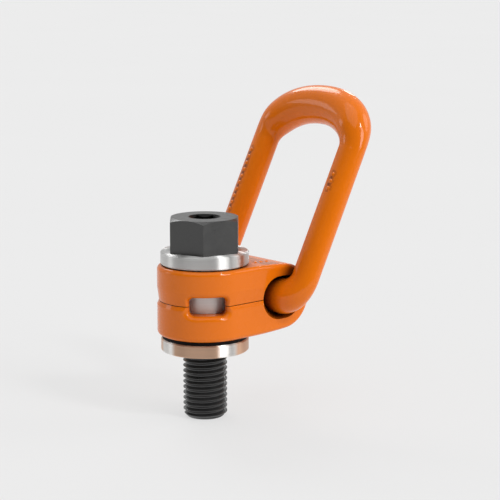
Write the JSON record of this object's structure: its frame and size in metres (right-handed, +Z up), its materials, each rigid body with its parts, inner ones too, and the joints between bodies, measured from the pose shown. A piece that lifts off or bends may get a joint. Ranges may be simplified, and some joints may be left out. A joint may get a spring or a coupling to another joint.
{
  "type": "swivel hoist ring",
  "caption": "Bolt-on swivel hoist ring: a forged ring pivots in a two-part housing that turns on a flanged bushing held by a hex bolt.",
  "frame": {"origin": "on the bolt axis at the seating face of the lower flange", "axes": "+Z up along the bolt towards its head, +X towards the pivot of the ring, +Y along the ring pivot"},
  "size_m": [0.1022, 0.072, 0.1461],
  "materials": {
    "orange_paint": "glossy orange enamel over forged steel",
    "black_oxide": "black oxide, satin",
    "bright_steel": "turned and zinc plated, bright",
    "spring_steel": "oiled spring steel",
    "ball_steel": "polished bearing steel",
    "brake_bronze": "machined bronze",
    "seal_rubber": "matte black rubber"
  },
  "bodies": {
    "core": {"flanged_bushing": "bright_steel", "upper_collar": "bright_steel", "collar_lock_ring": "spring_steel"},
    "bolt": {"hex_bolt": "black_oxide", "bolt_retaining_ring": "spring_steel"},
    "housing": {"upper_housing": "orange_paint", "lower_housing": "orange_paint", "left_dowel_pin": "spring_steel", "right_dowel_pin": "spring_steel", "upper_seal": "seal_rubber", "lower_seal": "seal_rubber", "brake_plunger": "brake_bronze", "brake_spring": "spring_steel", "brake_plug": "black_oxide"},
    "upper_balls": {"upper_bearing_balls": "ball_steel"},
    "lower_balls": {"lower_bearing_balls": "ball_steel"},
    "ring": {"load_ring": "orange_paint"}
  },
  "joints": [
    {"name": "housing_swivel", "type": "hinge", "parent": "core", "child": "housing", "pos_m": [0, 0, 0.0232], "axis": [0, 0, 1], "continuous": true},
    {"name": "upper_ball_orbit", "type": "hinge", "parent": "core", "child": "upper_balls", "pos_m": [0, 0, 0.0392], "axis": [0, 0, 1], "continuous": true},
    {"name": "lower_ball_orbit", "type": "hinge", "parent": "core", "child": "lower_balls", "pos_m": [0, 0, 0.00653], "axis": [0, 0, 1], "continuous": true},
    {"name": "bolt_turn", "type": "hinge", "parent": "core", "child": "bolt", "pos_m": [0, 0, 0], "axis": [0, 0, 1], "continuous": true},
    {"name": "ring_pivot", "type": "hinge", "parent": "housing", "child": "ring", "pos_m": [0.02995, 0, 0.0232], "axis": [0, -1, 0], "range_deg": [-70.9, 125.1]}
  ],
  "couplings": [
    {"joint": "upper_ball_orbit", "follows": "housing_swivel", "ratio": 0.5},
    {"joint": "lower_ball_orbit", "follows": "housing_swivel", "ratio": 0.5}
  ]
}
